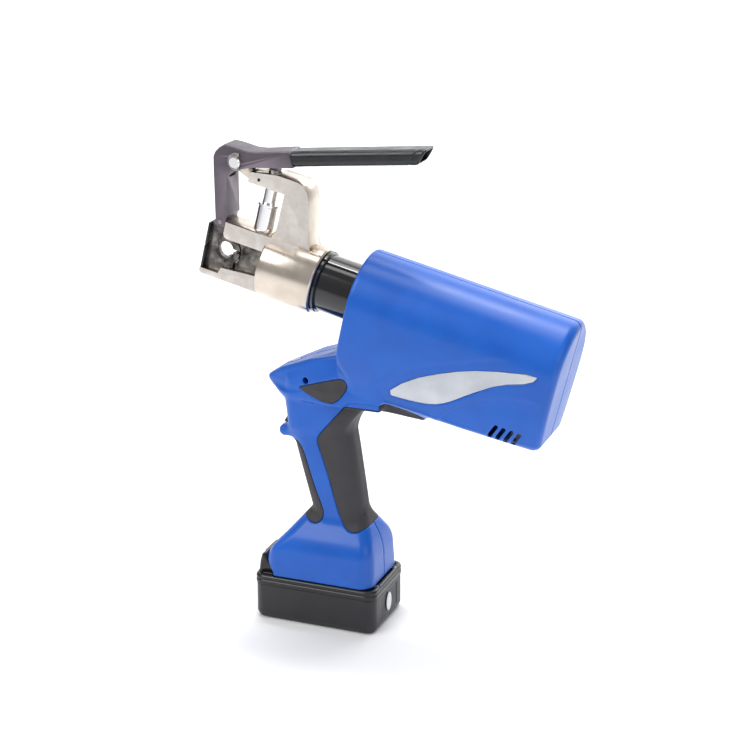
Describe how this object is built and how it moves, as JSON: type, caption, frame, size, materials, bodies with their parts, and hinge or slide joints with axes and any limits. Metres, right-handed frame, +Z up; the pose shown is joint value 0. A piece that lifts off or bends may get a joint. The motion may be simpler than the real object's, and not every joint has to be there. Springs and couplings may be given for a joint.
{
  "type": "rebar cutter",
  "caption": "Cordless hydraulic rebar cutter: pistol-grip blue body, plated cutting head with side bar window, and a sprung clamp lever over the head.",
  "frame": {"origin": "centre of the battery's flat underside, which the tool stands on", "axes": "+Z up from the battery; -X towards the cutting head; -Y is the tool's left side"},
  "size_m": [0.3543, 0.088, 0.4512],
  "materials": {
    "body_shell": "satin gloss moulded",
    "rubber_grip": "soft matt overmould",
    "badge": "printed silver",
    "lens": "clear tinted",
    "plated_steel": "satin nickel plate",
    "bright_chrome": "polished",
    "jaw_steel": "ground tool steel",
    "black_plate": "black oxide",
    "lever_paint": "satin enamel",
    "grip_sleeve": "dipped vinyl",
    "black_cylinder": "gloss black",
    "spring_steel": "drawn wire",
    "fastener_steel": "zinc plate",
    "pump_metal": "machined",
    "hydraulic_steel": "ground",
    "gear_steel": "machined",
    "motor_steel": "zinc",
    "fan_plastic": "moulded",
    "bladder_rubber": "moulded",
    "black_plastic": "fine texture moulded",
    "board": "solder mask",
    "cell_wrap": "shrink sleeve",
    "sticker": "label"
  },
  "bodies": {
    "tool_body": {"housing_left": "body_shell", "housing_right": "body_shell", "side_inlay_left": "rubber_grip", "side_inlay_right": "rubber_grip", "side_badge_left": "badge", "side_badge_right": "badge", "front_grip_strip": "rubber_grip", "rear_grip_panel": "rubber_grip", "indicator_lens": "lens", "case_screws": "fastener_steel", "hydraulic_cylinder": "black_cylinder", "neck_ring": "black_cylinder", "pump_block": "pump_metal", "pump_plunger": "hydraulic_steel", "gearbox_case": "pump_metal", "oil_bladder": "bladder_rubber", "motor_can": "motor_steel", "motor_bearings": "hydraulic_steel", "trigger_switch": "black_plastic", "trigger_spring": "spring_steel", "control_board": "board", "terminal_block": "black_plastic"},
    "head": {"head_body": "plated_steel", "fixed_jaw": "jaw_steel", "blade_guide": "jaw_steel", "lower_face_plate": "black_plate", "lever_arch": "plated_steel", "column_sleeve": "bright_chrome", "column_collar": "bright_chrome", "plunger_spring": "spring_steel", "return_spring": "spring_steel"},
    "lever": {"hand_lever": "lever_paint", "lever_grip": "grip_sleeve", "clamp_jaw": "jaw_steel", "upper_face_plate": "black_plate", "pivot_pin": "bright_chrome", "jaw_pin": "bright_chrome", "pin_clips": "fastener_steel"},
    "plunger": {"spring_plunger": "bright_chrome"},
    "blade": {"moving_blade": "jaw_steel", "piston": "hydraulic_steel", "piston_seal": "bladder_rubber"},
    "rotor": {"rotor": "motor_steel", "cooling_fan": "fan_plastic", "sun_pinion": "gear_steel"},
    "eccentric": {"eccentric_shaft": "gear_steel", "planetary_stage": "gear_steel"},
    "trigger": {"trigger": "black_plastic"},
    "battery": {"battery_case": "black_plastic", "battery_lid": "black_plastic", "battery_cells": "cell_wrap", "battery_screws": "fastener_steel", "battery_label": "sticker", "latch_spring": "spring_steel"},
    "latch": {"battery_latch": "black_plastic"}
  },
  "joints": [
    {"name": "head_swivel", "type": "hinge", "parent": "tool_body", "child": "head", "pos_m": [0, 0, 0.32], "axis": [-0.9724, 0, 0.2334], "range_deg": [-90, 90]},
    {"name": "lever_hinge", "type": "hinge", "parent": "head", "child": "lever", "pos_m": [-0.08006, 0, 0.42561], "axis": [0, 1, 0], "range_deg": [0, 7], "stiffness_Nm_per_rad": 5, "springref_deg": -11.46},
    {"name": "plunger_slide", "type": "slide", "parent": "head", "child": "plunger", "axis": [-0.2334, 0, -0.9724], "range_m": [0, 0.0045], "deforming": ["plunger_spring"]},
    {"name": "blade_slide", "type": "slide", "parent": "head", "child": "blade", "axis": [-0.9724, 0, 0.2334], "range_m": [0, 0.011], "stiffness_N_per_m": 900, "springref_m": -0.012, "deforming": ["return_spring"]},
    {"name": "rotor_spin", "type": "hinge", "parent": "tool_body", "child": "rotor", "pos_m": [0.14586, 0, 0.28498], "axis": [-0.9724, 0, 0.2334], "continuous": true},
    {"name": "eccentric_spin", "type": "hinge", "parent": "tool_body", "child": "eccentric", "pos_m": [0.09237, 0, 0.29782], "axis": [-0.9724, 0, 0.2334], "continuous": true},
    {"name": "trigger_slide", "type": "slide", "parent": "tool_body", "child": "trigger", "axis": [1, 0, 0], "range_m": [0, 0.0045], "stiffness_N_per_m": 400, "springref_m": -0.004, "deforming": ["trigger_spring"]},
    {"name": "battery_slide", "type": "slide", "parent": "tool_body", "child": "battery", "axis": [-1, 0, 0], "range_m": [0, 0.09]},
    {"name": "latch_press", "type": "slide", "parent": "battery", "child": "latch", "axis": [1, 0, 0], "range_m": [0, 0.0022], "stiffness_N_per_m": 600, "springref_m": -0.003, "deforming": ["latch_spring"]}
  ],
  "couplings": [
    {"joint": "plunger_slide", "follows": "lever_hinge", "m_per_rad": 0.0335},
    {"joint": "eccentric_spin", "follows": "rotor_spin", "ratio": 0.25}
  ]
}
